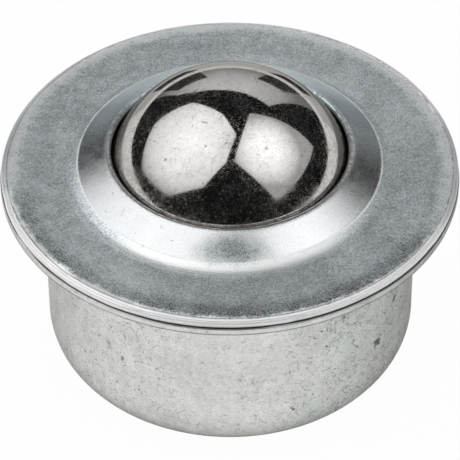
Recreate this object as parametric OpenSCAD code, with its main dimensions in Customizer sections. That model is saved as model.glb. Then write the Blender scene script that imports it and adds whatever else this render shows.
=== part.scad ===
// Ball transfer unit for dropping into a hole in a conveyor bed.
// A large load ball rests on a bed of small support balls in a hardened cup.
// The cup sits in a drawn sheet-steel housing, closed by a pressed cover.
// The origin is the middle of the underside, and +Z points up out of the ball.

/* [Load ball] */
// Diameter of the load ball
ball_d = 30; // [24:0.5:31]
// How far the load ball's centre lies below the flange's seating face
ball_sink = 1.5; // [0.6:0.1:2.4]

/* [Support balls] */
// Diameter of one support ball
support_d = 5.556; // [5.4:0.001:7]
// Running play on each side of a support ball
roll_play = 0.04; // [0.03:0.01:0.08]
// Gap between two neighbouring rows of support balls
row_gap = 0.2; // [0.1:0.05:0.6]
// Least gap between two neighbours in one row
neighbour_gap = 0.01; // [0.01:0.01:0.1]

/* [Bearing cup] */
// Wall of the hardened bearing cup
cup_t = 0.82; // [0.6:0.01:1.6]
// Radial clearance between the bearing cup and the housing
cup_fit = 0.044; // [0.02:0.002:0.1]
// How much thicker the cup is at its bottom than at its rim
cup_bottom_extra = 0.8; // [0:0.1:1.5]
// Depth of the small flat pressed on the bottom of the bearing cup
cup_foot = 0.05; // [0.02:0.01:0.2]

/* [Housing] */
// Sheet thickness of the drawn housing
housing_t = 1; // [0.8:0.1:1.5]
// Thickness of the housing's flange, which drawing may leave thicker than the wall
flange_t = 1.1; // [0.8:0.1:1.8]
// Width of the flange beyond the body
flange_w = 5; // [3.5:0.1:8]
// Outer radius of the corner round the base
base_corner_r = 5; // [2.5:0.1:7]
// Radius of the bend between the body and the flange's seating face
neck_r = 0.6; // [0.3:0.1:1.2]
// Rounding of the housing flange's cut edge
flange_edge_r = 0.25; // [0.1:0.05:0.4]

/* [Cover] */
// Sheet thickness of the pressed cover
cover_t = 1.1; // [0.95:0.05:1.2]
// How far the cover's edge stands back from the housing's flange edge
cover_inset = 0.12; // [0:0.02:0.4]
// Radius at which the cover's flat starts to droop towards its edge
cover_droop_r = 14; // [5:0.5:16]
// Slope that the cover's flat has drooped to where its shoulder begins
cover_droop_angle = 8; // [4:1:9]
// Radius of the shoulder inside the cover's edge
cover_shoulder_r = 1.2; // [0.8:0.1:1.5]
// Slope of the shoulder where the edge begins
cover_shoulder_angle = 25; // [15:1:30]
// Rounding of the cover's upper outer edge
cover_edge_r = 0.5; // [0.3:0.05:0.55]
// Rounding of the cover's lower outer edge
cover_seam_r = 0.2; // [0.1:0.05:0.2]
// Height of the raised collar above the flange
collar_h = 2.5; // [2.2:0.05:3]
// Width of the collar's slope, from the bend at its foot to its lip
collar_w = 4.1; // [3.9:0.05:4.6]
// Radius of the crease between the collar's slope and the skirt round its foot
collar_foot_r = 1; // [0.4:0.1:1.2]
// Radius of the bend from the cover's flat into the skirt
collar_rise_r = 1.6; // [1.2:0.1:2.5]
// Slope of the skirt, gentler than the collar's own
collar_rise_angle = 21; // [10:1:23]
// Width of the skirt's straight part
skirt_w = 1; // [0.5:0.1:1.3]
// Radius of the bend by which the collar's slope eases towards its lip
collar_crest_r = 2.4; // [2:0.1:4]
// Slope that the collar still has where its lip begins
crest_angle = 18; // [8:1:20]
// Rounding of the lip round the load ball
lip_r = 0.45; // [0.2:0.05:0.6]
// Radial gap between the load ball and the lip
lip_gap = 0.3; // [0.15:0.01:0.5]

/* [Hidden] */
ARC_STEP = 5;
EPS_ANGLE = 0.001;
CARRIER_AZIMUTH = 90;

ball_r = ball_d / 2;
support_r = support_d / 2;
bed_r = ball_r + roll_play + support_r;
race_r = ball_r + support_d + 2 * roll_play;
cup_outer_r = race_r + cup_t;
housing_inner_r = cup_outer_r + cup_fit;
body_r = housing_inner_r + housing_t;
flange_r = body_r + flange_w;

ball_z = housing_t + cup_outer_r + cup_bottom_extra - cup_foot;
seat_z = ball_z + ball_sink;
cover_z = seat_z + flange_t;
flange_top_z = cover_z + cover_t;
crest_z = flange_top_z + collar_h;

// The lip stands off the ball's section at the height where the hole is narrowest.
lip_z = crest_z - lip_r;
function ball_section_r(z) = sqrt(pow(ball_r, 2) - pow(z - ball_z, 2));
lip_hole_r = ball_section_r(lip_z) + lip_gap;
lip_under_z = crest_z - cover_t;
lip_under_r = ball_section_r(lip_under_z) + lip_gap;
lip_centre = [lip_hole_r + lip_r, lip_z];
foot_r = lip_centre.x + collar_w;

// The flat bends into a straight skirt, which a crease joins to the collar's slope.
rise_centre = [foot_r + skirt_w + (collar_rise_r - collar_foot_r) * sin(collar_rise_angle),
               flange_top_z + collar_rise_r];
foot_centre = [foot_r,
               rise_centre.y + skirt_w * tan(collar_rise_angle)
               - (collar_rise_r - collar_foot_r) * cos(collar_rise_angle)];
crest_centre = lip_centre - (collar_crest_r - lip_r) * [sin(crest_angle), cos(crest_angle)];
under_angle = acos((lip_under_r - crest_centre.x) / (collar_crest_r - cover_t));

// The collar's slope is the straight line that touches the foot's and the crest's arcs.
slope_run = crest_centre - foot_centre;
slope_reach = collar_foot_r + collar_crest_r;
slope_len = sqrt(slope_run * slope_run - pow(slope_reach, 2));
slope_angle = atan2(slope_len * slope_run.y - slope_reach * slope_run.x,
                    -slope_len * slope_run.x - slope_reach * slope_run.y);

// Support balls lie in rows, each row a fixed angle further up from the lowest point.
row_step = 2 * asin((support_d + row_gap) / (2 * bed_r));
half_ball_angle = asin(support_r / bed_r);
top_row = floor((90 - half_ball_angle * 0.75) / row_step);
function row_angle(row) = row * row_step;
function row_fill(row) =
    180 / asin((support_d + neighbour_gap) / (2 * bed_r * sin(row_angle(row))));
function row_count(row) = row == 0 ? 1 : floor(row_fill(row) + EPS_ANGLE);
function two_digits(n) = str(n < 10 ? "0" : "", n);
function support_name(row, index) = str("support_ball_r", row, "_", two_digits(index + 1));

// Points along an arc from angle a0 to a1, counted from +X, in steps of about ARC_STEP.
function arc_points(centre, r, a0, a1) =
    let (n = max(2, ceil(abs(a1 - a0) / ARC_STEP)))
    [for (i = [0:n]) centre + r * [cos(a0 + (a1 - a0) * i / n), sin(a0 + (a1 - a0) * i / n)]];

// Half section of the deep-drawn housing: flat base, straight wall and flat flange.
function housing_section() =
    let (
        corner = [body_r - base_corner_r, base_corner_r],
        bend = [body_r + neck_r, seat_z - neck_r],
        throat_r = neck_r + housing_t,
        throat = [housing_inner_r + throat_r, cover_z - throat_r],
        edge_low = [flange_r - flange_edge_r, seat_z + flange_edge_r],
        edge_high = [flange_r - flange_edge_r, cover_z - flange_edge_r]
    )
    concat(
        [[0, 0]],
        arc_points(corner, base_corner_r, -90, 0),
        arc_points(bend, neck_r, 180, 90),
        arc_points(edge_low, flange_edge_r, -90, 0),
        arc_points(edge_high, flange_edge_r, 0, 90),
        arc_points(throat, throat_r, 90, 180),
        arc_points(corner, base_corner_r - housing_t, 0, -90),
        [[0, housing_t]]
    );

// Half section of the bearing cup: a hemispherical race carried on up as a straight skirt.
// Its outside is struck from a lower centre than the race, so the wall thickens downwards.
function cup_section() =
    let (
        back_z = ball_z - cup_bottom_extra,
        foot_angle = asin((back_z - housing_t) / cup_outer_r)
    )
    concat(
        [[0, housing_t]],
        arc_points([0, back_z], cup_outer_r, -foot_angle, 0),
        [[cup_outer_r, cover_z], [race_r, cover_z]],
        arc_points([0, ball_z], race_r, 0, -90)
    );

// Half section of the pressed cover: drooping flat, raised collar and rounded lip.
function cover_section() =
    let (
        edge_r = flange_r - cover_inset,
        droop_end = 90 - cover_droop_angle,
        shoulder_end = 90 - cover_shoulder_angle,
        droop_reach = (cover_droop_r - cover_shoulder_r) * [cos(droop_end), sin(droop_end)],
        shoulder_reach = (cover_shoulder_r - cover_edge_r)
                         * [cos(shoulder_end), sin(shoulder_end)],
        droop_centre = [edge_r - cover_edge_r - shoulder_reach.x - droop_reach.x,
                        flange_top_z - cover_droop_r],
        shoulder_centre = droop_centre + droop_reach,
        rise_end = -90 - collar_rise_angle,
        slope_end = -90 - slope_angle
    )
    concat(
        arc_points([edge_r - cover_seam_r, cover_z + cover_seam_r], cover_seam_r, -90, 0),
        arc_points(shoulder_centre + shoulder_reach, cover_edge_r, 0, shoulder_end),
        arc_points(shoulder_centre, cover_shoulder_r, shoulder_end, droop_end),
        arc_points(droop_centre, cover_droop_r, droop_end, 90),
        arc_points(rise_centre, collar_rise_r, -90, rise_end),
        arc_points(foot_centre, collar_foot_r, rise_end, slope_end),
        arc_points(crest_centre, collar_crest_r, 90 - slope_angle, 90 - crest_angle),
        arc_points(lip_centre, lip_r, 90 - crest_angle, 180),
        arc_points(crest_centre, collar_crest_r - cover_t, under_angle, 90 - slope_angle),
        arc_points(foot_centre, collar_foot_r + cover_t, slope_end, rise_end),
        arc_points(rise_centre, collar_rise_r + cover_t, rise_end, -90)
    );

module turned(section) {
    rotate_extrude($fn = 180)
        polygon(section);
}

module housing() {
    color([0.80, 0.81, 0.80])
        turned(housing_section());
}

module bearing_cup() {
    color([0.52, 0.53, 0.55])
        turned(cup_section());
}

module cover() {
    color([0.58, 0.61, 0.63])
        turned(cover_section());
}

module load_ball() {
    color([0.86, 0.86, 0.88])
        translate([0, 0, ball_z])
            sphere(d = ball_d, $fn = 144);
}

// One support ball, in its row at an even share of the way round.
module support_ball(row, index) {
    azimuth = CARRIER_AZIMUTH + 360 * index / row_count(row);
    color([0.78, 0.78, 0.80])
        translate([0, 0, ball_z])
            rotate([0, 180 - row_angle(row), azimuth])
                translate([0, 0, bed_r])
                    sphere(d = support_d, $fn = 48);
}

housing();
bearing_cup();
cover();
load_ball();
for (row = [0:top_row])
    for (index = [0:row_count(row) - 1])
        support_ball(row, index);
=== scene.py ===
"""Drop-in ball transfer unit: its finished pieces, the light and the camera.

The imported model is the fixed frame. The load ball, the cover and the housing get finely
turned surfaces with their wear; the bearing cup and the support balls keep their own.
The pieces' sizes are in millimetres until a mesh is written, the studio's and the
camera's in metres, and angles in degrees.
"""

import logging
import math
from dataclasses import dataclass, field
from enum import Enum
from functools import reduce
from typing import Callable, Sequence, Union

import bpy
import numpy as np
from mathutils import Matrix, Vector


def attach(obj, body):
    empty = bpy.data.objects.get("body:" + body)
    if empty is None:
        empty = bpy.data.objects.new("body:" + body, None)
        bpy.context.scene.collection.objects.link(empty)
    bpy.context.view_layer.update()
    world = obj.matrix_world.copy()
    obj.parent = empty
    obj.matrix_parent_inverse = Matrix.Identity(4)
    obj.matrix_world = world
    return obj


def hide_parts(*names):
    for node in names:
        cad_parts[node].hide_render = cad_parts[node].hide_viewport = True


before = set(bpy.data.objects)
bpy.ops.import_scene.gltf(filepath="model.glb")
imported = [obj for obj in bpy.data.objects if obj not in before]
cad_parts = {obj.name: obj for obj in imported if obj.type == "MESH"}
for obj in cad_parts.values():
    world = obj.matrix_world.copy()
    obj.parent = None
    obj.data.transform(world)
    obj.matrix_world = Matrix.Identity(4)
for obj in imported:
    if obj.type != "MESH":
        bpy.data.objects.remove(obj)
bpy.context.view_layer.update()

LOG = logging.getLogger("ball_transfer_unit")
MM = 0.001
FULL_TURN = 2.0 * math.pi
NEAR_AXIS = 1e-6
TINY = 1e-9
Colour = tuple[float, float, float]
Value = Union["Wire", float]
WHITE: Colour = (1.0, 1.0, 1.0)


# ---------------------------------------------------------------- shader writing


class Wire:
    """An output socket in a material, with arithmetic that adds Math nodes."""

    def __init__(self, kit: "NodeKit", socket: bpy.types.NodeSocket) -> None:
        self.kit = kit
        self.socket = socket

    def __add__(self, other: Value) -> "Wire":
        """Sum."""
        return self.kit.math("ADD", self, other)

    __radd__ = __add__

    def __sub__(self, other: Value) -> "Wire":
        """Difference."""
        return self.kit.math("SUBTRACT", self, other)

    def __rsub__(self, other: Value) -> "Wire":
        """Difference with the number first."""
        return self.kit.math("SUBTRACT", other, self)

    def __mul__(self, other: Value) -> "Wire":
        """Product."""
        return self.kit.math("MULTIPLY", self, other)

    __rmul__ = __mul__

    def __truediv__(self, other: Value) -> "Wire":
        """Quotient."""
        return self.kit.math("DIVIDE", self, other)

    def __abs__(self) -> "Wire":
        """Size without sign."""
        return self.kit.math("ABSOLUTE", self, 0.0)

    def largest(self, other: Value) -> "Wire":
        """The larger of the two."""
        return self.kit.math("MAXIMUM", self, other)

    def smallest(self, other: Value) -> "Wire":
        """The smaller of the two."""
        return self.kit.math("MINIMUM", self, other)

    def swing(self, share: float) -> "Wire":
        """How far a noise lies from its middle value, times a share."""
        return (self - 0.5) * share


class NodeKit:
    """Adds nodes to one material and wires them."""

    def __init__(self, tree: bpy.types.NodeTree) -> None:
        """Starts from an emptied tree."""
        self.tree = tree
        tree.nodes.clear()

    def feed(self, socket: bpy.types.NodeSocket, value: object) -> None:
        """Links a wire to an input, or sets a plain value on it.

        Args:
            socket: the input.
            value: a Wire, a number or a tuple; a colour without alpha gets 1.
        """
        if isinstance(value, Wire):
            self.tree.links.new(value.socket, socket)
            return
        if isinstance(value, tuple) and len(value) == 3 and len(socket.default_value) == 4:
            value = (*value, 1.0)
        socket.default_value = value

    def node(self, kind: str, settings: dict | None = None, inputs: dict | None = None,
             out: int | str = 0) -> Wire:
        """Adds any node.

        Args:
            kind: the node's type.
            settings: its attributes, set first.
            inputs: values or wires by socket name or number.
            out: the output to return.

        Returns:
            The chosen output as a wire.
        """
        made = self.tree.nodes.new(kind)
        for key, value in (settings or {}).items():
            setattr(made, key, value)
        for key, value in (inputs or {}).items():
            self.feed(made.inputs[key], value)
        return Wire(self, made.outputs[out] if len(made.outputs) else None)

    def math(self, operation: str, a: Value, b: Value) -> Wire:
        """One Math node on two values."""
        return self.node("ShaderNodeMath", {"operation": operation}, {0: a, 1: b})

    def step(self, value: Value, low: float, high: float) -> Wire:
        """Smooth rise from 0 at low to 1 at high; falls if low is the larger.

        Args:
            value: what is measured.
            low: where the rise starts.
            high: where it ends.

        Returns:
            A mask from 0 to 1.
        """
        if low > high:
            return 1.0 - self.step(value, high, low)
        return self.node("ShaderNodeMapRange", {"interpolation_type": "SMOOTHSTEP"},
                         {0: value, 1: low, 2: high, 3: 0.0, 4: 1.0})

    def ridge(self, value: Value, middle: float, half: float) -> Wire:
        """A blunt peak with hollow sides: 1 round the middle, 0 from half a width off.

        As relief it eases a concave corner, since both of its sides lean away from it.

        Args:
            value: what is measured.
            middle: where the peak stands.
            half: half its width.

        Returns:
            The peak, squared from a straight-sided one.
        """
        share = 1.0 - ((abs(value - middle) - half * 0.2).largest(0.0) / half).smallest(1.0)
        return share * share

    def noise(self, point: Wire, scale: float, detail: float = 2.0, rough: float = 0.5,
              bend: float = 0.0) -> Wire:
        """Fractal noise from 0 to 1, about 0.5.

        Args:
            point: coordinates in millimetres.
            scale: features a millimetre.
            detail: number of finer octaves.
            rough: weight of the finer ones.
            bend: how far the noise distorts itself.

        Returns:
            The noise.
        """
        return self.node("ShaderNodeTexNoise", None,
                         {"Vector": point, "Scale": scale, "Detail": detail,
                          "Roughness": rough, "Distortion": bend}, "Fac")

    def blend(self, amount: Value, first: object, second: object) -> Wire:
        """Mixes two colours.

        Args:
            amount: share of the second, from 0 to 1.
            first: a colour or a wire.
            second: a colour or a wire.

        Returns:
            The mixed colour.
        """
        mix = self.tree.nodes.new("ShaderNodeMix")
        mix.data_type = "RGBA"
        self.feed(mix.inputs[0], amount)
        self.feed(mix.inputs[6], first)
        self.feed(mix.inputs[7], second)
        return Wire(self, mix.outputs[2])

    def tint(self, colour: object, amount: Wire) -> Wire:
        """Multiplies a colour by a value."""
        return self.node("ShaderNodeVectorMath", {"operation": "SCALE"},
                         {0: colour, "Scale": amount})

    def point(self) -> Wire:
        """The object's own coordinates in millimetres."""
        place = self.node("ShaderNodeTexCoord", out="Object")
        return self.node("ShaderNodeVectorMath", {"operation": "SCALE"},
                         {0: place, "Scale": 1.0 / MM})

    def split(self, point: Wire) -> tuple[Wire, Wire, Wire]:
        """X, Y and Z of a vector."""
        parts = [self.node("ShaderNodeSeparateXYZ", None, {0: point}, axis)
                 for axis in "XYZ"]
        return parts[0], parts[1], parts[2]

    def join(self, x: Value, y: Value, z: Value) -> Wire:
        """A vector from three values."""
        return self.node("ShaderNodeCombineXYZ", None, {0: x, 1: y, 2: z})

    def length(self, x: Wire, y: Wire) -> Wire:
        """Root of the sum of two squares."""
        return self.math("SQRT", x * x + y * y, 0.0)

    def distance(self, point: Wire, place: tuple[float, float, float]) -> Wire:
        """How far a point is from a place."""
        return self.node("ShaderNodeVectorMath", {"operation": "DISTANCE"},
                         {0: point, 1: place}, "Value")

    def turned(self, point: Wire, angles: tuple[float, float, float]) -> Wire:
        """Coordinates turned by three angles in radians."""
        return self.node("ShaderNodeMapping", None, {"Vector": point, "Rotation": angles})

    def flecks(self, place: Wire, spacing: float, length: float, width: float,
               share: float) -> Wire:
        """Short straight marks, one to a cell at most, each turned its own way.

        Every Voronoi cell gives a centre and three random numbers. The distance from the
        centre is turned by the first, and the mark is where it lies within the length and
        the width. The second keeps only a share of the cells.

        Args:
            place: flat coordinates in millimetres.
            spacing: size of a cell.
            length: half the longest mark.
            width: half its width.
            share: part of the cells that hold one.

        Returns:
            A mask from 0 to 1.
        """
        cell = self.tree.nodes.new("ShaderNodeTexVoronoi")
        self.feed(cell.inputs["Vector"], place)
        self.feed(cell.inputs["Scale"], 1.0 / spacing)
        centre = Wire(self, cell.outputs["Position"])
        chance = self.split(Wire(self, cell.outputs["Color"]))
        away = self.node("ShaderNodeVectorMath", {"operation": "SUBTRACT"},
                         {0: place, 1: centre})
        u, v, _ = self.split(away)
        turn = chance[0] * FULL_TURN
        cosine = self.math("COSINE", turn, 0.0)
        sine = self.math("SINE", turn, 0.0)
        along = abs(u * cosine + v * sine)
        across = abs(v * cosine - u * sine)
        reach = chance[2] * length + 0.2 * length
        inside = self.step(along / reach, 1.0, 0.7) * self.step(across, width, width * 0.4)
        return inside * self.step(chance[1], 1.0 - share, 1.0 - share + 0.02)

    def surface(self, colour: object, metallic: Value, rough: Value,
                relief: Wire | None = None, depth: float = 0.01,
                grazing: Colour = WHITE) -> None:
        """Ends the material in one Principled shader.

        Args:
            colour: base colour.
            metallic: metallic value.
            rough: roughness.
            relief: height for the bump, in units of the depth, if any.
            depth: what a height of 1 stands for, in millimetres.
            grazing: share of the light that the metal sends on at grazing angles.
        """
        inputs: dict = {"Base Color": colour, "Metallic": metallic, "Roughness": rough,
                        "Specular Tint": grazing}
        if relief is not None:
            inputs["Normal"] = self.node("ShaderNodeBump", None,
                                         {"Strength": 1.0, "Distance": depth * MM,
                                          "Height": relief})
        shader = self.node("ShaderNodeBsdfPrincipled", None, inputs)
        self.node("ShaderNodeOutputMaterial", None, {0: shader})


def new_material(name: str) -> tuple[bpy.types.Material, NodeKit]:
    """Args:
        name: the material's name.

    Returns:
        The material and its kit.
    """
    material = bpy.data.materials.new(name)
    material.use_nodes = True
    return material, NodeKit(material.node_tree)


# ---------------------------------------------------------------- finishes


class CoverMap:
    """The cover's noises, sides and rings, which its finish is written in.

    Every mask runs from 0 to 1. The front is at -Y and the left at -X.
    """

    def __init__(self, kit: NodeKit, finish: "ZincPlate") -> None:
        """Works out each of them once.

        Args:
            kit: the material's kit.
            finish: the finish, which holds the rings' radii.
        """
        self.kit = kit
        self.point = kit.point()
        self.x, self.y, self.z = kit.split(self.point)
        self.flat = kit.join(self.x, self.y, self.z * 0.5)
        self.radius = kit.length(self.x, self.y)
        self.grain = kit.noise(self.point, finish.grain_scale, 2.0, 0.6)
        self.grit = kit.noise(self.point, finish.grit_scale, 3.0, 0.62)
        self.mottle = kit.noise(self.point, 0.7, 4.0, 0.65)
        self.cloud = kit.noise(self.point, 0.16, 3.0, 0.55, 0.4)
        self.spots = kit.step(self.grain, 0.55, 0.36)
        # the front and the front-left, where painted light and shade are laid
        self.front = kit.step(self.y, -6.0, -20.0)
        self.ahead = kit.step(self.y + self.x * 0.12, -3.0, -13.0)
        self.add_rings(finish)

    def add_rings(self, finish: "ZincPlate") -> None:
        """Masks by radius, from the collar's wall to the rim, with wavering edges; several
        of them carry painted highlights and painted shade.

        Args:
            finish: the finish, which holds the rings' radii.
        """
        kit, radius = self.kit, self.radius
        crease_r, foot_r, rim_r = finish.crease_r, finish.foot_r, finish.rim_r
        waver = radius + self.grit.swing(0.6) + self.mottle.swing(0.9)
        self.wall = kit.step(radius, crease_r + 0.25, crease_r - 0.15)
        # a thin ring where the collar's wall meets the skirt; rougher, and it carries a
        # painted highlight line
        self.crease = (kit.step(abs(radius - crease_r), 0.14, 0.04)
                       * kit.step(self.grit, 0.2, 0.5))
        # the ring outside the crease at the front; it carries a painted highlight
        self.skirt = (kit.step(waver, foot_r + 0.45, foot_r - 0.55) * (1.0 - self.wall)
                      * kit.step(self.y, -11.0, -17.5))
        # a ring just outside the crease, weaker at the front; it carries a painted
        # highlight
        self.halo_highlight = (kit.step(radius, crease_r + 1.5, crease_r)
                     * (1.0 - self.front * 0.6))
        # the rounded rim, rougher; it reaches further in on the left, where its painted
        # highlight is broader
        self.rim = kit.step(waver + kit.step(self.x, -3.0, -16.0) * 0.3,
                            rim_r - 0.4, rim_r + 0.4)
        # the ring inside the rim; it carries painted shade at the front
        self.rim_inner_shade = (kit.step(radius, rim_r - 2.9, rim_r - 0.9)
                           * (1.0 - self.rim))
        # a ring before the rim, away from the front; it carries a painted highlight
        self.rim_band_highlight = kit.step(waver, rim_r - 2.0, rim_r - 0.6) * (1.0 - self.ahead)
        self.smooth = (self.wall.largest(self.skirt * 0.6)
                       .largest(self.rim.largest(self.crease)))


@dataclass(frozen=True)
class ZincPlate:
    """Satin zinc plating on the pressed cover, by rings from the lip to the rim."""

    name: str = "zinc_plated_cover"
    colour: Colour = (0.655, 0.70, 0.725)
    bright: Colour = (0.83, 0.847, 0.852)
    # the colour of the collar's wall at the back: a painted reflection
    back_wall_sheen: Colour = (0.735, 0.82, 0.86)
    dull: Colour = (0.125, 0.155, 0.155)
    dirt: Colour = (0.16, 0.13, 0.10)
    # the colour of the cover's lower edge in the seam's groove: painted shade
    seam_groove_shade: Colour = (0.13, 0.13, 0.135)
    grazing: Colour = (0.92, 0.93, 0.94)
    grain_scale: float = 7.4
    grit_scale: float = 4.0
    rough_flat: float = 0.40
    rough_wall: float = 0.27
    rough_worn: float = 0.66
    rough_rim: float = 0.63
    lip_r: float = 14.75
    crease_r: float = 18.25
    foot_r: float = 19.7
    rim_r: float = 26.6
    seam_z: float = 26.06
    # centre and radius of a dark patch on the collar's front
    collar_patch: tuple[float, float, float] = (0.1, -16.8, 0.0)
    collar_patch_r: float = 2.45
    relief_depth: float = 0.04

    def light(self, on: CoverMap) -> Wire:
        """Brightness of the grainy flat and of the smooth rings, with painted light and
        shade in rings and by side.

        Args:
            on: the cover's map.

        Returns:
            What the colour is multiplied by.
        """
        kit = on.kit
        # the flat: grain tone, with painted highlights in two rings, painted light at the
        # front and more at the front-left, and painted shade in the ring inside the rim at
        # the front
        flat = (1.14 - on.spots * 0.50 + on.grit.swing(1.6) + on.mottle.swing(0.7)
                + on.cloud.swing(0.55) + on.rim_band_highlight * 0.44 + on.halo_highlight * 0.20
                + on.front * (0.05 + kit.step(on.x, -4.0, -14.0) * 0.16)
                - on.rim_inner_shade * on.ahead * (0.38 + on.spots * 0.10))
        # the smooth rings: tone, lighter at the back as painted light
        smooth = (0.97 - on.wall * 0.14 + on.grit.swing(0.20) + on.mottle.swing(0.20)
                  + on.cloud.swing(0.16) + kit.step(on.y, 5.0, 14.0) * 0.42)
        # the rim's lower edge, which gets painted shade at the front
        edge = kit.step(on.z + on.mottle.swing(0.2), self.seam_z + 0.36,
                        self.seam_z + 0.12)
        # painted highlights on the rim at the front, on the crease and on the skirt;
        # painted shade on the rim's lower edge at the front
        return (flat * (1.0 - on.smooth) + smooth * on.smooth
                + on.rim * (on.ahead * 0.46 - 0.10) + on.crease * 0.50
                + on.skirt * 0.34 - on.rim * on.front * edge * 0.40)

    def grime(self, on: CoverMap) -> Wire:
        """Where dirt has gathered on the lip, as a mask from 0 to 1."""
        lip = on.kit.step(on.radius, self.lip_r + 0.35, self.lip_r - 0.15)
        return lip * on.kit.step(on.kit.noise(on.point, 1.6, 4.0, 0.7), 0.44, 0.62)

    def soiled(self, on: CoverMap, colour: Wire, grime: Wire) -> Wire:
        """Lays a dark patch on the collar's front, the specks, the grime and painted shade
        in the seam's groove over it.

        Args:
            on: the cover's map.
            colour: the clean colour.
            grime: where the lip is dirty.

        Returns:
            The soiled colour.
        """
        kit = on.kit
        # a dark, speckled patch on the collar's front
        dark_patch = kit.distance(kit.join(on.x * 0.42, on.y, 0.0), self.collar_patch)
        dark_patch = kit.step(dark_patch + on.mottle.swing(1.2), self.collar_patch_r, 0.2)
        colour = kit.blend(dark_patch * (0.54 + on.spots * 0.58), colour, self.dull)
        specks = kit.flecks(on.flat, 1.9, 0.2, 0.07, 0.16)
        colour = kit.blend((specks * 0.5).largest(grime * 0.6), colour, self.dirt)
        # the cover's lower edge in the seam's groove, darkened: painted shade
        seam = kit.step(on.z + on.mottle.swing(0.15), self.seam_z + 0.03,
                        self.seam_z - 0.07)
        return kit.blend(seam * kit.step(on.radius, 26.0, 27.0), colour, self.seam_groove_shade)

    def rough(self, on: CoverMap, grime: Wire) -> Wire:
        """Roughness, smoothest on the collar's wall and worn at crease and rim.

        Args:
            on: the cover's map.
            grime: where the lip is dirty.

        Returns:
            The roughness.
        """
        kit = on.kit
        plain = self.rough_flat + on.wall * (self.rough_wall - self.rough_flat)
        left = kit.step(on.x, -4.0, -16.0)
        return (plain + on.crease * (self.rough_worn - plain)
                + on.rim * (self.rough_rim - plain - left * 0.13)
                + on.mottle.swing(0.14) + grime * 0.2
                + on.wall * kit.step(on.y, 4.0, 13.0) * 0.22)

    def relief(self, on: CoverMap) -> Wire:
        """Height of the grain, less the nicks, with the inner corners eased.

        Args:
            on: the cover's map.

        Returns:
            The height, in units of the relief's depth.
        """
        kit = on.kit
        nicks = kit.flecks(on.flat, 2.6, 0.6, 0.05, 0.14)
        corners = (kit.ridge(on.radius, self.foot_r, 0.8) * 1.8
                   + kit.ridge(on.radius, self.crease_r, 0.22) * (1.0 - on.front) * 0.6)
        return (on.grain * (0.5 - on.wall * 0.12) + on.grit * (0.8 - on.smooth * 0.65)
                + on.rim * on.mottle * 0.6 - nicks * 0.3 + corners)

    def build(self) -> bpy.types.Material:
        """Grainy grey metal, smoother on the collar's wall and rougher at crease and rim,
        with painted highlights and painted shade in rings and by side.

        Returns:
            The material.
        """
        material, kit = new_material(self.name)
        on = CoverMap(kit, self)
        # the collar's wall is paler and bluer at the back, a painted reflection; the smooth
        # rings take a brighter colour, which on the crease, the skirt and the rim is part
        # of their painted highlight
        bright = kit.blend(on.wall * kit.step(on.y, -5.0, 7.0), self.bright, self.back_wall_sheen)
        clean = kit.tint(kit.blend(on.smooth * 0.9, self.colour, bright), self.light(on))
        grime = self.grime(on)
        kit.surface(self.soiled(on, clean, grime), 1.0, self.rough(on, grime),
                    self.relief(on), self.relief_depth, self.grazing)
        return material


@dataclass(frozen=True)
class Mark:
    """A dark mark on the housing: its centre and its size."""

    centre: tuple[float, float, float]
    size: float


class HousingMap:
    """The housing's coordinates, noises and masks, which its finish is written in."""

    def __init__(self, kit: NodeKit, finish: "GalvanisedSheet") -> None:
        """Works out each of them once.

        Args:
            kit: the material's kit.
            finish: the finish, which holds the body's radius.
        """
        self.kit = kit
        self.point = kit.point()
        self.x, self.y, self.z = kit.split(self.point)
        self.around = kit.math("ARCTAN2", self.x, 0.0 - self.y) * finish.body_r
        self.wrap = kit.join(self.around, self.z, 0.0)
        self.grain = kit.noise(self.point, 3.0, 3.0, 0.65)
        self.mottle = kit.noise(self.point, 0.75, 5.0, 0.7)
        # the lower part of the body, where stains gather and painted shade darkens it
        self.foot = kit.step(self.z, 8.0, 1.0)
        self.flange = kit.step(kit.length(self.x, self.y), finish.body_r + 0.5,
                               finish.body_r + 0.9)


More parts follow.
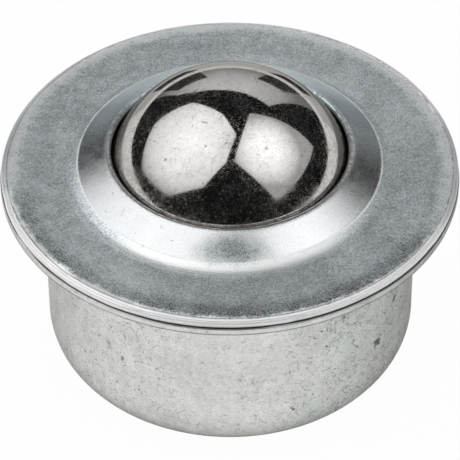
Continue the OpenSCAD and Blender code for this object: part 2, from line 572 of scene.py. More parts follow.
@dataclass(frozen=True)
class GalvanisedSheet:
    """Dull galvanised sheet of the drawn housing, scuffed and stained."""

    name: str = "galvanised_housing"
    colour: Colour = (0.70, 0.70, 0.685)
    dark_patch: Colour = (0.34, 0.31, 0.27)
    green: Colour = (0.52, 0.62, 0.59)
    mark: Colour = (0.09, 0.09, 0.08)
    grazing: Colour = (0.46, 0.47, 0.46)
    rough: float = 0.40
    body_r: float = 22.5
    rim_z: float = 25.68
    rim_under_z: float = 24.75
    relief_depth: float = 0.02
    hair_scales: tuple[float, ...] = (0.42, 0.7, 1.2)
    big_marks: tuple[Mark, ...] = (
        Mark((17.6, -14.0, 10.6), 0.9), Mark((19.6, -11.0, 15.0), 0.5),
        Mark((7.4, -21.2, 6.4), 0.25), Mark((-13.0, -18.4, 12.4), 0.18),
        Mark((13.4, -18.1, 18.6), 0.3), Mark((10.6, -19.8, 18.0), 0.2))

    def light(self, on: HousingMap) -> Wire:
        """Brightness: grain, clouds and streaks, with painted shade at the right, at the
        right edge, towards the foot and on the base's corner, and painted light at the
        left.

        Args:
            on: the housing's map.

        Returns:
            What the colour is multiplied by.
        """
        kit = on.kit
        cloud = kit.noise(on.point, 0.17, 4.0, 0.6, 0.6)
        streak = kit.noise(kit.join(on.around * 0.5, on.z * 0.07, 0.0), 1.0, 4.0, 0.65)
        # the body is darker to the right and at its right edge, as painted shade, and
        # lighter to the left, as painted light
        right, left = kit.step(on.x, 3.0, 22.5), kit.step(on.x, -9.0, -22.5)
        # the base's rounded corner gets painted shade, and the foot a broader painted shade
        corner = kit.step(on.z, 2.9, 1.35) * kit.step(on.z, -0.5, 1.3)
        return (1.02 + on.grain.swing(0.30) + on.mottle.swing(0.46) + cloud.swing(0.46)
                + streak.swing(0.30) - right * 0.27 + left * 0.06 - on.foot * 0.32
                - kit.step(on.x, 17.5, 22.0) * 0.04 - corner * 0.55)

    def stains(self, on: HousingMap) -> Wire:
        """Where the sheet is stained.

        Args:
            on: the housing's map.

        Returns:
            A mask from 0 to 1.
        """
        kit = on.kit
        spread = kit.step(kit.noise(on.point, 0.15, 2.0), 0.40, 0.60)
        return kit.step(kit.noise(on.point, 1.3, 6.0, 0.78, 0.7), 0.54, 0.64) * spread

    def hairs(self, on: HousingMap) -> Wire:
        """Fine bent scratches: contours of noise, broken up by a second noise.

        Args:
            on: the housing's map.

        Returns:
            A mask from 0 to 1, with the pits that lie between them.
        """
        kit = on.kit
        marks = kit.step(kit.noise(on.point, 2.8, 3.0, 0.7), 0.385, 0.32) * 0.5
        for number, scale in enumerate(self.hair_scales):
            moved = kit.turned(on.point, (0.5 * number, 0.9, 0.3))
            hair = kit.step(abs(kit.noise(moved, scale, 2.0, 0.55, 1.5) - 0.5),
                            0.012, 0.003)
            broken = kit.step(kit.noise(on.point, scale * 2.2, 2.0), 0.51, 0.58)
            marks = marks.largest(hair * broken * 0.75)
        return marks

    def marks(self, on: HousingMap) -> Wire:
        """All dark marks: hairs, straight scratches, dots and the few large marks.

        Args:
            on: the housing's map.

        Returns:
            A mask from 0 to 1.
        """
        kit = on.kit
        cluster = kit.step(kit.noise(on.point, 0.24, 2.0), 0.40, 0.55)
        scratches = kit.flecks(on.wrap, 1.7, 1.0, 0.05, 0.42) * cluster
        dots = kit.flecks(on.wrap, 1.2, 0.16, 0.08, 0.20)
        side = (0.5 + kit.step(abs(on.x), 2.0, 12.0) * 0.5
                + kit.step(on.x, 4.0, 13.0) * 0.3)
        marks = (self.hairs(on).largest(scratches * 0.85).largest(dots * 0.8)
                 * (0.5 + on.mottle * 0.85) * side)
        rag = kit.noise(on.point, 2.0, 4.0, 0.7).swing(2.6)
        for mark in self.big_marks:
            away = kit.distance(on.point, mark.centre)
            marks = marks.largest(kit.step(away + rag, mark.size, mark.size * 0.4) * 0.9)
        return marks * (1.0 - on.flange * 0.55)

    def build(self) -> bpy.types.Material:
        """Pale grey metal with clouds, stains, streaks, scratches and dark marks, with
        painted shade in the seam, on the flange's lower edge, to the right and towards the
        foot.

        Returns:
            The material.
        """
        material, kit = new_material(self.name)
        on = HousingMap(kit, self)
        green = (kit.step(kit.noise(on.point, 0.36, 6.0, 0.8, 0.3), 0.38, 0.72)
                 * kit.step(on.x, 0.0, 14.0) * kit.step(on.x, 23.5, 17.5))
        colour = kit.blend(green * 0.6, kit.tint(self.colour, self.light(on)), self.green)
        stains = self.stains(on)
        low = on.foot * kit.step(kit.noise(on.point, 1.1, 5.0, 0.7), 0.46, 0.62)
        colour = kit.blend((stains * 0.55).largest(low * 0.32), colour, self.dark_patch)
        marks = self.marks(on)
        # the top of the flange's edge in the seam's groove, darkened in the marks' colour:
        # painted shade
        seam = kit.step(on.z, self.rim_z, self.rim_z + 0.08) * on.flange
        # a dark line on the lower part of the flange's edge: painted shade under the flange
        under = kit.step(on.z + on.mottle.swing(0.1), self.rim_under_z + 0.36,
                         self.rim_under_z + 0.22) * on.flange
        colour = kit.blend(marks.largest(seam).largest(under * 0.62), colour, self.mark)
        kit.surface(colour, 1.0, self.rough + on.mottle.swing(0.2) + stains * 0.15,
                    on.grain * 0.5 + on.mottle * 0.6 - marks * 0.5,
                    self.relief_depth, self.grazing)
        return material


@dataclass(frozen=True)
class PolishedSteel:
    """Mirror-polished ball steel with hairline scratches and dust."""

    name: str
    colour: Colour = (0.66, 0.65, 0.64)
    dust: Colour = (0.34, 0.30, 0.26)
    scratch: Colour = (0.16, 0.12, 0.10)
    grazing: Colour = (0.58, 0.56, 0.53)
    rough: float = 0.045
    wear: float = 1.0
    belt_z: float = 29.5
    relief_depth: float = 0.0035
    line_scales: tuple[float, ...] = (0.35, 0.55, 0.85, 1.4)

    def scratches(self, kit: NodeKit, point: Wire) -> Wire:
        """Hairlines: thin contours of noise, broken up by a second noise.

        Args:
            kit: the material's kit.
            point: the ball's coordinates.

        Returns:
            A mask from 0 to 1.
        """
        lines = []
        for number, scale in enumerate(self.line_scales):
            moved = kit.turned(point, (0.7 * number, 1.1 * number, 0.4))
            line = kit.step(abs(kit.noise(moved, scale, 1.5, 0.5, 1.2) - 0.5),
                            0.0070, 0.0015)
            lines.append(line * kit.step(kit.noise(point, scale * 1.7 + 0.3, 2.0),
                                         0.52, 0.60))
        return reduce(Wire.largest, lines) * self.wear

    def dusting(self, kit: NodeKit, point: Wire) -> Wire:
        """Specks, powder and a smoky film.

        Args:
            kit: the material's kit.
            point: the ball's coordinates.

        Returns:
            A mask from 0 to 1.
        """
        specks = kit.step(kit.noise(point, 3.6, 3.0, 0.62), 0.65, 0.70)
        smoke = kit.step(kit.noise(point, 0.9, 6.0, 0.8, 1.4), 0.50, 0.78)
        patch = kit.step(kit.noise(point, 0.32, 4.0, 0.65, 0.5), 0.40, 0.62)
        powder = kit.step(kit.noise(point, 3.4, 5.0, 0.8, 0.5), 0.46, 0.74) * (0.15 + patch)
        return (specks * 0.40).largest(powder * 0.37).largest(smoke * 0.36) * self.wear

    def build(self) -> bpy.types.Material:
        """Near-mirror metal, scratched, smudged and dusty, dirtier in a belt.

        Dust is less metallic than the steel, so it shows dark in front of the lights'
        reflections and pale in front of the dark room's.

        Returns:
            The material.
        """
        material, kit = new_material(self.name)
        point = kit.point()
        lines = self.scratches(kit, point)
        dust = self.dusting(kit, point)
        film = kit.noise(point, 0.3, 4.0, 0.65, 0.4)
        smear = kit.noise(point, 1.4, 4.0, 0.7)
        light = 0.95 + film.swing(0.42) + smear.swing(0.26)
        colour = kit.blend(dust, kit.tint(self.colour, light), self.dust)
        colour = kit.blend(lines * 0.6, colour, self.scratch)
        smudge = (kit.step(kit.noise(point, 0.75, 6.0, 0.8, 1.2), 0.50, 0.72)
                  * kit.step(kit.noise(point, 0.13, 2.0), 0.42, 0.60) * self.wear)
        colour = kit.blend(smudge * 0.34, colour, self.dust)
        _, _, z = kit.split(point)
        belt = (kit.step(z, self.belt_z + 4.5, self.belt_z)
                * kit.step(kit.noise(point, 0.9, 5.0, 0.75), 0.34, 0.60) * self.wear)
        colour = kit.blend(belt * 0.42, colour, self.dust)
        rough = (self.rough + lines * 0.18 + dust * 0.35 + belt * 0.12
                 + kit.step(film, 0.50, 0.75) * 0.05)
        relief = smear * 0.25 + film * 0.2 - lines * 0.4
        kit.surface(colour, 1.0 - dust * 0.55, rough, relief, self.relief_depth,
                    self.grazing)
        return material


@dataclass(frozen=True)
class HardenedCup:
    """Dark hardened steel of the bearing cup, with a film of grease."""

    name: str = "hardened_bearing_cup"
    colour: Colour = (0.44, 0.43, 0.42)
    grease: Colour = (0.20, 0.16, 0.11)
    rough: float = 0.28
    relief_depth: float = 0.01

    def build(self) -> bpy.types.Material:
        """Grey heat-treated metal with brown film where grease has gathered.

        Returns:
            The material.
        """
        material, kit = new_material(self.name)
        point = kit.point()
        grain = kit.noise(point, 2.0, 3.0, 0.6)
        film = kit.step(kit.noise(point, 0.4, 4.0, 0.65, 0.5), 0.40, 0.66)
        metal = kit.tint(self.colour, 0.85 + grain * 0.3)
        colour = kit.blend(film * 0.5, metal, self.grease)
        kit.surface(colour, 1.0, self.rough + grain.swing(0.2) + film * 0.1, grain,
                    self.relief_depth)
        return material


# ---------------------------------------------------------------- turned surfaces


def arc(centre: Sequence[float], radius: float, start: float, end: float,
        step: float = 6.0) -> np.ndarray:
    """Points on a circle: centre plus radius times (cos, sin), from start to end degrees.

    Args:
        centre: (radius from the axis, height).
        radius: radius of the arc.
        start: first angle, counted from outwards.
        end: last angle.
        step: largest step in degrees.

    Returns:
        The points, one a row.
    """
    count = max(3, int(math.ceil(abs(end - start) / step)) + 1)
    angle = np.radians(np.linspace(start, end, count))
    return np.asarray(centre, float) + radius * np.stack([np.cos(angle), np.sin(angle)], 1)


def unit(angle: float) -> np.ndarray:
    """(cos, sin) of an angle in degrees."""
    return np.array([math.cos(math.radians(angle)), math.sin(math.radians(angle))])


def line(start: Sequence[float], end: Sequence[float], count: int) -> np.ndarray:
    """Evenly spaced points between two ends, the ends left out."""
    share = np.linspace(0.0, 1.0, count + 2)[1:-1, None]
    return np.asarray(start, float) * (1.0 - share) + np.asarray(end, float) * share


def chain(pieces: Sequence[np.ndarray], steps: Sequence[int]) -> np.ndarray:
    """Joins stretches of a section, with evenly spaced points between neighbours.

    Args:
        pieces: the stretches in order, each as (r, z) rows.
        steps: how many points go between each stretch and the next, or the first again.

    Returns:
        The whole section as (r, z) rows.
    """
    out = []
    for piece, following, count in zip(pieces, [*pieces[1:], pieces[0]], steps):
        out.append(piece)
        if count:
            out.append(line(piece[-1], following[0], count))
    return np.concatenate(out)


@dataclass(frozen=True)
class Dent:
    """A small dent or nick: its place on the section and round it, its size and depth.

    The azimuth is counted from the front towards the right. Its length runs round the
    axis and its width along the section. A negative depth is a burr.
    """

    azimuth: float
    radius: float
    height: float
    length: float
    width: float
    depth: float


def section_normals(section: np.ndarray, closed: bool) -> np.ndarray:
    """Outward unit normals: the direction along the section turned a quarter clockwise.

    Args:
        section: (r, z) rows, walked with the metal on the left.
        closed: whether the last point leads back to the first.

    Returns:
        One unit normal a row.
    """
    if closed:
        along = np.roll(section, -1, 0) - np.roll(section, 1, 0)
    else:
        along = np.gradient(section, axis=0)
    normal = np.stack([along[:, 1], -along[:, 0]], 1)
    return normal / np.maximum(np.linalg.norm(normal, axis=1, keepdims=True), TINY)


def ring_faces(rows: int, segments: int, on_axis: bool) -> list[list[int]]:
    """Faces of a turned surface: quads from ring to ring, and a fan round each end.

    Point j of ring i has the number i times segments plus j. Where the surface ends on
    the axis, the two end points come after the rings; else the last ring leads back to
    the first.

    Args:
        rows: number of rings.
        segments: points in each.
        on_axis: whether the surface ends on the axis.

    Returns:
        The corners of each face.
    """
    i = np.arange(rows - 1 if on_axis else rows)[:, None]
    j = np.arange(segments)[None, :]
    after = (j + 1) % segments
    here, there = i * segments, ((i + 1) % rows) * segments
    quads = np.stack([here + j, here + after, there + after, there + j], -1)
    faces: list[list[int]] = quads.reshape(-1, 4).tolist()
    if on_axis:
        bottom, top = np.full(segments, rows * segments), (rows - 1) * segments
        faces += np.stack([bottom, after[0], j[0]], 1).tolist()
        faces += np.stack([bottom + 1, top + j[0], top + after[0]], 1).tolist()
    return faces


def revolve(name: str, section: np.ndarray, segments: int,
            sink: Callable[[np.ndarray, np.ndarray, np.ndarray], np.ndarray] | None = None
            ) -> bpy.types.Object:
    """Turns a half section about Z: x = r sin(angle), y = -r cos(angle), z = height.

    The angle is counted from the front (-Y) towards +X. Before turning, each point moves
    against its section's normal by the sink depth, a function of (angle, r, z). A section
    that starts and ends on the axis is closed there with one point at each end.

    Args:
        name: name of the piece.
        section: (r, z) rows in millimetres, walked with the metal on the left.
        segments: steps round the axis.
        sink: depth in millimetres by angle, radius and height, or None.

    Returns:
        The piece, a smooth closed mesh at the origin.
    """
    on_axis = section[0, 0] < NEAR_AXIS and section[-1, 0] < NEAR_AXIS
    ring = section[1:-1] if on_axis else section
    normal = section_normals(section, not on_axis)
    normal = normal[1:-1] if on_axis else normal
    turns = np.arange(segments) * FULL_TURN / segments
    r = np.repeat(ring[:, :1], segments, 1)
    z = np.repeat(ring[:, 1:], segments, 1)
    angle = np.repeat(turns[None, :], len(ring), 0)
    if sink is not None:
        depth = sink(angle, r, z)
        r = r - depth * normal[:, :1]
        z = z - depth * normal[:, 1:]
    points = np.stack([r * np.sin(angle), -r * np.cos(angle), z], -1).reshape(-1, 3)
    if on_axis:
        points = np.concatenate([points, [[0, 0, section[0, 1]], [0, 0, section[-1, 1]]]])
    mesh = bpy.data.meshes.new(name)
    mesh.from_pydata((points * MM).tolist(), [],
                     ring_faces(len(ring), segments, on_axis))
    mesh.polygons.foreach_set("use_smooth", np.ones(len(mesh.polygons), dtype=bool))
    mesh.validate()
    piece = bpy.data.objects.new(name, mesh)
    bpy.context.scene.collection.objects.link(piece)
    return piece


def dents_depth(dents: Sequence[Dent], angle: np.ndarray, r: np.ndarray,
                z: np.ndarray) -> np.ndarray:
    """Sum of smooth hollows: depth times exp(-(distance / size) squared).

    Args:
        dents: the dents.
        angle: angle of each point, from the front.
        r: radius of each point.
        z: height of each point.

    Returns:
        The depth at each point.
    """
    depth = np.zeros_like(r)
    for dent in dents:
        turn = (angle - math.radians(dent.azimuth) + math.pi) % FULL_TURN - math.pi
        along = turn * dent.radius / dent.length
        across = np.hypot(r - dent.radius, z - dent.height) / dent.width
        depth += dent.depth * np.exp(-along ** 2 - across ** 2)
    return depth


def ripple(angle: np.ndarray, seed: int, orders: Sequence[int]) -> np.ndarray:
    """A wave round the axis: a sum of cosines of whole orders with seeded phases.

    Args:
        angle: angle of each point, from the front.
        seed: seed of the phases.
        orders: waves a turn; each is weighted by one over the root of its order.

    Returns:
        The wave at each point, brought between 0 and 1.
    """
    random = np.random.default_rng(seed)
    total = np.zeros_like(angle)
    for order in orders:
        total += np.cos(order * angle + random.uniform(0, FULL_TURN)) / math.sqrt(order)
    low, high = total.min(), total.max()
    return (total - low) / max(high - low, TINY)


# ---------------------------------------------------------------- the unit's pieces


@dataclass
class UnitSizes:
    """Sizes that the pieces share, as in the construction."""

    height: float = 38.206
    ball_r: float = 15.0
    body_r: float = 22.5
    flange_w: float = 5.0
    seat_z: float = 24.706
    flange_t: float = 1.1
    cover_t: float = 1.1
    collar_h: float = 2.5

    @property
    def ball_z(self) -> float:
        """Height of the load ball's centre, a ball radius under the unit's top."""
        return self.height - self.ball_r

    @property
    def flange_r(self) -> float:
        """Outer radius of the flange."""
        return self.body_r + self.flange_w

    @property
    def cover_z(self) -> float:
        """Height of the flange's top, where the cover lies on it."""
        return self.seat_z + self.flange_t

    @property
    def top_z(self) -> float:
        """Height of the cover's flat."""
        return self.cover_z + self.cover_t

    @property
    def crest_z(self) -> float:
        """Height of the collar's crest."""
        return self.top_z + self.collar_h


@dataclass
class Cover:
    """Pressed cover: drooping flat, raised collar and rounded lip."""

    sizes: UnitSizes = field(default_factory=UnitSizes)
    inset: float = 0.12
    seam_r: float = 0.2
    edge_r: float = 0.5
    shoulder_r: float = 1.2
    shoulder_angle: float = 25.0
    droop_r: float = 14.0
    droop_angle: float = 8.0
    rise_r: float = 1.6
    rise_angle: float = 21.0
    skirt_w: float = 1.0
    foot_r: float = 1.0
    crest_r: float = 2.4
    crest_angle: float = 18.0
    lip_r: float = 0.45
    hole_r: float = 14.154
    under_r: float = 14.406
    collar_w: float = 4.1
    edge_wave: float = 0.045
    segments: int = 640

    def section(self) -> np.ndarray:
        """The half section: arcs that touch one another, with straight flanks between.

        Returns:
            (r, z) rows, walked with the metal on the left.
        """
        s = self.sizes
        rim = s.flange_r - self.inset
        droop_end, shoulder_end = 90.0 - self.droop_angle, 90.0 - self.shoulder_angle
        droop_reach = (self.droop_r - self.shoulder_r) * unit(droop_end)
        shoulder_reach = (self.shoulder_r - self.edge_r) * unit(shoulder_end)
        droop = np.array([rim - self.edge_r - shoulder_reach[0] - droop_reach[0],
                          s.top_z - self.droop_r])
        shoulder = droop + droop_reach
        lip = np.array([self.hole_r + self.lip_r, s.crest_z - self.lip_r])
        crest = lip - (self.crest_r - self.lip_r) * unit(90.0 - self.crest_angle)
        bend = math.radians(self.rise_angle)
        rise = np.array([lip[0] + self.collar_w + self.skirt_w
                         + (self.rise_r - self.foot_r) * math.sin(bend),
                         s.top_z + self.rise_r])
        foot = np.array([lip[0] + self.collar_w,
                         rise[1] + self.skirt_w * math.tan(bend)
                         - (self.rise_r - self.foot_r) * math.cos(bend)])
        run = crest - foot
        total = self.foot_r + self.crest_r
        length = math.sqrt(run @ run - total ** 2)
        slope = math.degrees(math.atan2(length * run[1] - total * run[0],
                                        -length * run[0] - total * run[1]))
        rise_end, slope_end = -90.0 - self.rise_angle, -90.0 - slope
        under = s.cover_t
        under_angle = math.degrees(math.acos((self.under_r - crest[0])
                                             / (self.crest_r - under)))
        pieces = [
            arc([rim - self.seam_r, s.cover_z + self.seam_r], self.seam_r, -90, 0, 12),
            arc(shoulder + shoulder_reach, self.edge_r, 0, shoulder_end, 7),
            arc(shoulder, self.shoulder_r, shoulder_end, droop_end, 2.5),
            arc(droop, self.droop_r, droop_end, 90, 0.9),
            arc(rise, self.rise_r, -90, rise_end, 4),
            arc(foot, self.foot_r, rise_end, slope_end, 5),
            arc(crest, self.crest_r, 90 - slope, 90 - self.crest_angle, 2),
            arc(lip, self.lip_r, 90 - self.crest_angle, 180, 9),
            arc(crest, self.crest_r - under, under_angle, 90 - slope, 8),
            arc(foot, self.foot_r + under, slope_end, rise_end, 8),
            arc(rise, self.rise_r + under, rise_end, -90, 3),
        ]
        return chain(pieces, (0, 0, 0, 6, 3, 4, 0, 2, 3, 1, 8))

    def dents(self) -> tuple[Dent, ...]:
        """Dents and nicks along the rim."""
        top = self.sizes.top_z
        return (
            Dent(-47.0, 26.9, top - 0.2, 1.3, 0.6, 0.16),
            Dent(105.0, 25.9, top, 0.55, 0.5, 0.12),
            Dent(98.0, 25.6, top, 0.35, 0.4, 0.07),
            Dent(111.0, 26.2, top, 0.45, 0.4, 0.07),
            Dent(16.0, 27.2, top - 0.5, 0.7, 0.4, 0.10),
            Dent(33.0, 27.1, top - 0.4, 1.6, 0.4, 0.08),
            Dent(-22.0, 27.2, top - 0.6, 0.9, 0.4, 0.09),
            Dent(-78.0, 27.2, top - 0.5, 1.1, 0.5, 0.10),
            Dent(58.0, 27.2, top - 0.6, 0.8, 0.4, 0.08),
        )

    def sink(self, angle: np.ndarray, r: np.ndarray, z: np.ndarray) -> np.ndarray:
        """Wear of the rim: a faint waviness of its edge, and dents.

        Args:
            angle: angle from the front.
            r: radius.
            z: height.

        Returns:
            Depth below the true section in millimetres.
        """
        s = self.sizes
        at_edge = np.clip((r - (s.flange_r - 1.4)) / 1.2, 0.0, 1.0)
        wave = self.edge_wave * ripple(angle, 5, (2, 3, 5, 9, 14, 23, 37)) * at_edge
        return wave + dents_depth(self.dents(), angle, r, z)

    def build(self) -> bpy.types.Object:
        """Turns the section and dresses it in zinc plate.

        Returns:
            The cover.
        """
        piece = revolve("cover_sheet", self.section(), self.segments, self.sink)
        piece.data.materials.append(ZincPlate().build())
        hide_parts("cover")
        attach(piece, "root")
        return piece


@dataclass
class Housing:
    """Deep-drawn housing: flat base, straight wall and a flat flange."""

    sizes: UnitSizes = field(default_factory=UnitSizes)
    wall_t: float = 1.0
    corner_r: float = 5.0
    neck_r: float = 0.6
    edge_r: float = 0.25
    edge_wave: float = 0.07
    wall_wave: float = 0.02
    segments: int = 480

    def section(self) -> np.ndarray:
        """The half section from the axis under the base to the axis inside it.

        Returns:
            (r, z) rows, walked with the metal on the left.
        """
        s = self.sizes
        corner = [s.body_r - self.corner_r, self.corner_r]
        neck = [s.body_r + self.neck_r, s.seat_z - self.neck_r]
        throat_r = self.neck_r + self.wall_t
        throat = [s.body_r - self.wall_t + throat_r, s.cover_z - throat_r]
        edge = s.flange_r - self.edge_r
        pieces = [
            np.array([[0.0, 0.0]]),
            arc(corner, self.corner_r, -90, 0, 5),
            arc(neck, self.neck_r, 180, 90, 12),
            arc([edge, s.seat_z + self.edge_r], self.edge_r, -90, 0, 15),
            arc([edge, s.cover_z - self.edge_r], self.edge_r, 0, 90, 15),
            arc(throat, throat_r, 90, 180, 15),
            arc(corner, self.corner_r - self.wall_t, 0, -90, 12),
            np.array([[0.0, self.wall_t]]),
        ]
        return chain(pieces, (8, 14, 6, 2, 6, 6, 5, 0))

    def dents(self) -> tuple[Dent, ...]:
        """Two shallow dents in the wall, and nicks and a burr along the flange's edge."""
        s = self.sizes
        return (
            Dent(-40.0, s.body_r, 21.5, 0.8, 0.7, 0.05),
            Dent(42.0, s.body_r, 16.0, 0.9, 0.8, 0.05),
            Dent(1.0, 27.4, s.cover_z - 0.3, 0.6, 0.4, -0.02),
            Dent(12.0, 27.3, s.cover_z, 1.4, 0.4, 0.08),
            Dent(-61.0, 27.3, s.cover_z, 2.0, 0.4, 0.09),
            Dent(-30.0, 27.3, s.seat_z, 1.2, 0.4, 0.07),
        )

    def sink(self, angle: np.ndarray, r: np.ndarray, z: np.ndarray) -> np.ndarray:
        """Faint unevenness of the drawn wall, and a wavy cut edge on the flange.

        Args:
            angle: angle from the front.
            r: radius.
            z: height.

        Returns:
            Depth below the true section in millimetres.
        """
        s = self.sizes
        at_edge = np.clip((r - (s.flange_r - 1.0)) / 0.8, 0.0, 1.0)
        wave = self.edge_wave * ripple(angle, 11, (3, 4, 7, 11, 19, 31, 47)) * at_edge
        on_wall = np.clip((z - 4.0) / 3.0, 0.0, 1.0) * (np.abs(r - s.body_r) < 0.3)
        wall = self.wall_wave * ripple(angle, 17, (2, 3, 5, 8)) * on_wall
        return wave + wall + dents_depth(self.dents(), angle, r, z)

    def build(self) -> bpy.types.Object:
        """Turns the section and dresses it in galvanised sheet.

        Returns:
            The housing.
        """
        piece = revolve("housing_shell", self.section(), self.segments, self.sink)
        piece.data.materials.append(GalvanisedSheet().build())
        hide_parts("housing")
        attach(piece, "root")
        return piece


@dataclass
class LoadBall:
    """The large ball that carries the load."""

    sizes: UnitSizes = field(default_factory=UnitSizes)
    segments: int = 256
    rows: int = 128

    def build(self) -> bpy.types.Object:
        """A sphere turned from half a circle, in polished steel.

        Returns:
            The ball.
        """
        s = self.sizes
        section = arc([0.0, s.ball_z], s.ball_r, -90, 90, 180.0 / self.rows)
        section[[0, -1], 0] = 0.0
        piece = revolve("load_ball_polished", section, self.segments)
        piece.data.materials.append(PolishedSteel("polished_load_ball").build())
        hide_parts("load_ball")
        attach(piece, "load_ball")
        return piece


@dataclass
class BallBed:
    """The bearing cup and its support balls, which keep the construction's meshes."""

    cup: str = "bearing_cup"
    ball_prefix: str = "support_ball"
    cup_finish: HardenedCup = HardenedCup()
    ball_finish: PolishedSteel = PolishedSteel("support_ball_steel", (0.60, 0.58, 0.55),
                                               rough=0.09, wear=0.5)

    def dress(self) -> dict[str, str]:
        """Gives each of them its finish.

        Returns:
            The finish of each piece, by their names.
        """
        ball, cup = self.ball_finish.build(), self.cup_finish.build()
        dressed = {}
        for name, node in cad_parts.items():
            if name == self.cup or name.startswith(self.ball_prefix):
                finish = cup if name == self.cup else ball
                node.data.materials.clear()
                node.data.materials.append(finish)
                dressed[name] = finish.name
        return dressed


# ---------------------------------------------------------------- studio


class Seen(Enum):
    """Where a piece of the studio shows."""

    IN_REFLECTIONS = "in reflections only"
    EVERYWHERE = "everywhere"


@dataclass(frozen=True)
class Panel:
    """A flat lit panel: corners by azimuth and elevation from the unit, and distance.

    Azimuth is counted from the front towards the right. The glow falls by fall times the
    square of the distance from the hot spot, counted in panel distances, and no lower
    than its least share.
    """

    name: str
    corners: tuple[tuple[float, float], ...]
    distance: float
    glow: float
    hot: tuple[float, float]
    fall: float = 0.0
    least: float = 0.3


def direction(azimuth: float, elevation: float) -> np.ndarray:
    """Unit vector by azimuth from the front towards the right, and elevation."""
    a, e = math.radians(azimuth), math.radians(elevation)
    return np.array([math.sin(a) * math.cos(e), -math.cos(a) * math.cos(e), math.sin(e)])


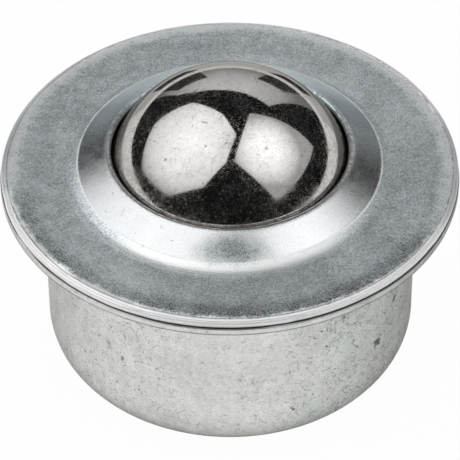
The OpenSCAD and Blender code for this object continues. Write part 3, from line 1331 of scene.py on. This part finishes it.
@dataclass
class Studio:
    """White table, dark room, two softboxes and a pale screen behind."""

    table_half: float = 3.0
    table_gap: float = 0.00002
    table_white: float = 0.975
    table_grey: Colour = (0.9, 0.9, 0.9)
    room_r: float = 2.6
    room_foot: float = -2.0
    room_rows: int = 24
    room_segments: int = 64
    room_tone: Colour = (1.0, 1.0, 0.97)
    room_glow: float = 0.008
    centre_z: float = 0.023
    panels: tuple[Panel, ...] = (
        Panel("softbox_left",
              ((-165, 69), (-147, 42), (-126, 21), (-97, 8), (-60, 14), (-30, 36),
               (-7, 62), (80, 84.5)),
              distance=1.3, glow=1.50, hot=(-89, 59), fall=0.55),
        Panel("softbox_right", ((45, 17), (109, 16), (146, 63), (8, 63)),
              distance=1.2, glow=1.74, hot=(72, 57), fall=1.85),
        Panel("screen_behind",
              ((142, 0), (142, 43.5), (165, 43), (188, 39.5), (203, 32), (210, 22),
               (210, 0)), distance=1.0, glow=0.76, hot=(-178, 46), fall=0.80),
        Panel("slot_right", ((152, 0), (152, 16), (167, 16), (167, 0)),
              distance=0.95, glow=0.03, hot=(160, 8)),
        Panel("slot_left", ((190, 0), (190, 16), (206, 16), (206, 0)),
              distance=0.95, glow=0.03, hot=(198, 8)),
        Panel("screen_foot", ((136, -13), (136, 0.5), (216, 0.5), (216, -13)),
              distance=0.098, glow=0.78, hot=(176, 0), fall=0.3),
        Panel("slot_foot_right", ((153, -9), (152, 0.6), (167, 0.6), (165, -9)),
              distance=0.095, glow=0.04, hot=(160, 0)),
        Panel("slot_foot_left", ((192, -9), (190, 0.6), (206, 0.6), (204, -9)),
              distance=0.095, glow=0.04, hot=(198, 0)),
    )

    def light_path(self, kit: NodeKit) -> Wire:
        """Tells apart the rays that see the white ground.

        Args:
            kit: the table's kit.

        Returns:
            1 for camera, glossy and transmission rays, 0 for the others.
        """
        rays = [kit.node("ShaderNodeLightPath", out=name)
                for name in ("Is Camera Ray", "Is Glossy Ray", "Is Transmission Ray")]
        return rays[0].largest(rays[1]).largest(rays[2])

    def build_floor(self) -> None:
        """The white table, which keeps a faint shadow."""
        half, top = self.table_half, -self.table_gap
        mesh = bpy.data.meshes.new("table_top")
        mesh.from_pydata([(-half, -half, top), (half, -half, top), (half, half, top),
                          (-half, half, top)], [], [(0, 1, 2, 3)])
        material, kit = new_material("white_table")
        glow = kit.node("ShaderNodeEmission", None, {"Color": WHITE, "Strength": 1.0})
        matt = kit.node("ShaderNodeBsdfDiffuse", None, {"Color": self.table_grey})
        both = kit.node("ShaderNodeMixShader", None,
                        {0: self.light_path(kit) * self.table_white, 1: matt, 2: glow})
        kit.node("ShaderNodeOutputMaterial", None, {0: both})
        self.place("table_top", mesh, material, Seen.EVERYWHERE)

    def place(self, name: str, mesh: bpy.types.Mesh, material: bpy.types.Material,
              seen: Seen = Seen.IN_REFLECTIONS) -> None:
        """Adds a studio piece.

        Args:
            name: the piece's name.
            mesh: its mesh.
            material: its material.
            seen: where it shows.
        """
        mesh.materials.append(material)
        piece = bpy.data.objects.new(name, mesh)
        bpy.context.scene.collection.objects.link(piece)
        piece.visible_camera = seen is Seen.EVERYWHERE

    def build_panel(self, panel: Panel) -> None:
        """A flat panel whose corners lie on its plane, in the directions it states.

        Args:
            panel: what to build.
        """
        origin = np.array([0.0, 0.0, self.centre_z])
        rays = np.array([direction(*corner) for corner in panel.corners])
        facing = rays.mean(0)
        facing /= np.linalg.norm(facing)
        corners = origin + rays * (panel.distance / (rays @ facing))[:, None]
        spot = direction(*panel.hot)
        hot = origin + spot * (panel.distance / (spot @ facing))
        mesh = bpy.data.meshes.new(panel.name)
        mesh.from_pydata(corners.tolist(), [], [tuple(range(len(corners)))])
        material, kit = new_material(panel.name)
        place = kit.node("ShaderNodeTexCoord", out="Object")
        away = kit.node("ShaderNodeVectorMath", {"operation": "DISTANCE"},
                        {0: place, 1: tuple(hot)}, "Value")
        lost = away * away * (panel.fall / panel.distance ** 2)
        lost = lost.smallest(1.0 - panel.least)
        shader = kit.node("ShaderNodeEmission", None,
                          {"Color": kit.tint(WHITE, (1.0 - lost) * panel.glow),
                           "Strength": 1.0})
        kit.node("ShaderNodeOutputMaterial", None, {0: shader})
        self.place(panel.name, mesh, material)

    def build_room(self) -> None:
        """The dark room: a dome of points at one distance from the table's middle.

        Each point is the radius times (cos(up) sin(turn), -cos(up) cos(turn), sin(up)).
        """
        rows, segments = self.room_rows, self.room_segments
        up = np.radians(np.linspace(self.room_foot, 90.0, rows))[:, None]
        turn = np.arange(segments)[None, :] * FULL_TURN / segments
        points = self.room_r * np.stack([np.cos(up) * np.sin(turn),
                                         -np.cos(up) * np.cos(turn),
                                         np.sin(up) * np.ones_like(turn)], -1)
        i, j = np.arange(rows - 1)[:, None], np.arange(segments)[None, :]
        after = (j + 1) % segments
        quads = np.stack([i * segments + j, (i + 1) * segments + j,
                          (i + 1) * segments + after, i * segments + after], -1)
        mesh = bpy.data.meshes.new("dark_room")
        mesh.from_pydata(points.reshape(-1, 3).tolist(), [], quads.reshape(-1, 4).tolist())
        material, kit = new_material("dark_room")
        shader = kit.node("ShaderNodeEmission", None,
                          {"Color": self.room_tone, "Strength": self.room_glow})
        kit.node("ShaderNodeOutputMaterial", None, {0: shader})
        self.place("dark_room", mesh, material)

    def build_world(self) -> None:
        """A white world, for what the camera sees past the table."""
        world = bpy.data.worlds.new("white_world")
        world.use_nodes = True
        kit = NodeKit(world.node_tree)
        shader = kit.node("ShaderNodeBackground", None, {0: WHITE, 1: 1.0})
        kit.node("ShaderNodeOutputWorld", None, {0: shader})
        bpy.context.scene.world = world

    def build(self) -> None:
        """Builds the whole studio and sets the view transform."""
        self.build_world()
        self.build_floor()
        self.build_room()
        for panel in self.panels:
            self.build_panel(panel)
        bpy.context.scene.view_settings.view_transform = "Standard"


@dataclass(frozen=True)
class View:
    """The camera: its angles in degrees, its distance and aim in metres, and its lens."""

    elevation: float = 42.45
    distance: float = 0.370
    aim_x: float = -0.00001
    aim_z: float = 0.01595
    sensor: float = 36.0
    lens: float = 237.2
    roll: float = -0.28
    clip: tuple[float, float] = (0.01, 20.0)

    def build(self) -> None:
        """Places the camera; its axes are right, up and back, rolled about back."""
        tilt, roll = math.radians(self.elevation), math.radians(self.roll)
        back = Vector((0.0, -math.cos(tilt), math.sin(tilt)))
        right = Vector((1.0, 0.0, 0.0))
        up = back.cross(right)
        turned = right * math.cos(roll) + up * math.sin(roll)
        upright = up * math.cos(roll) - right * math.sin(roll)
        data = bpy.data.cameras.new("camera")
        data.sensor_width = self.sensor
        data.lens = self.lens
        data.clip_start, data.clip_end = self.clip
        camera = bpy.data.objects.new("camera", data)
        place = Vector((self.aim_x, 0.0, self.aim_z)) + back * self.distance
        camera.matrix_world = Matrix.Translation(place) @ Matrix(
            (turned, upright, back)).transposed().to_4x4()
        bpy.context.scene.collection.objects.link(camera)
        bpy.context.scene.camera = camera


def main() -> None:
    """Builds the camera, the studio and the pieces in order, and logs each piece."""
    logging.basicConfig(level=logging.INFO, format="%(name)s: %(message)s")
    View().build()
    Studio().build()
    sizes = UnitSizes()
    for maker in (Housing(sizes), Cover(sizes), LoadBall(sizes)):
        piece = maker.build()
        LOG.info("%s: %d faces", piece.name, len(piece.data.polygons))
    for name, finish in BallBed().dress().items():
        LOG.info("%s: dressed in %s", name, finish)


if __name__ == "__main__":
    main()
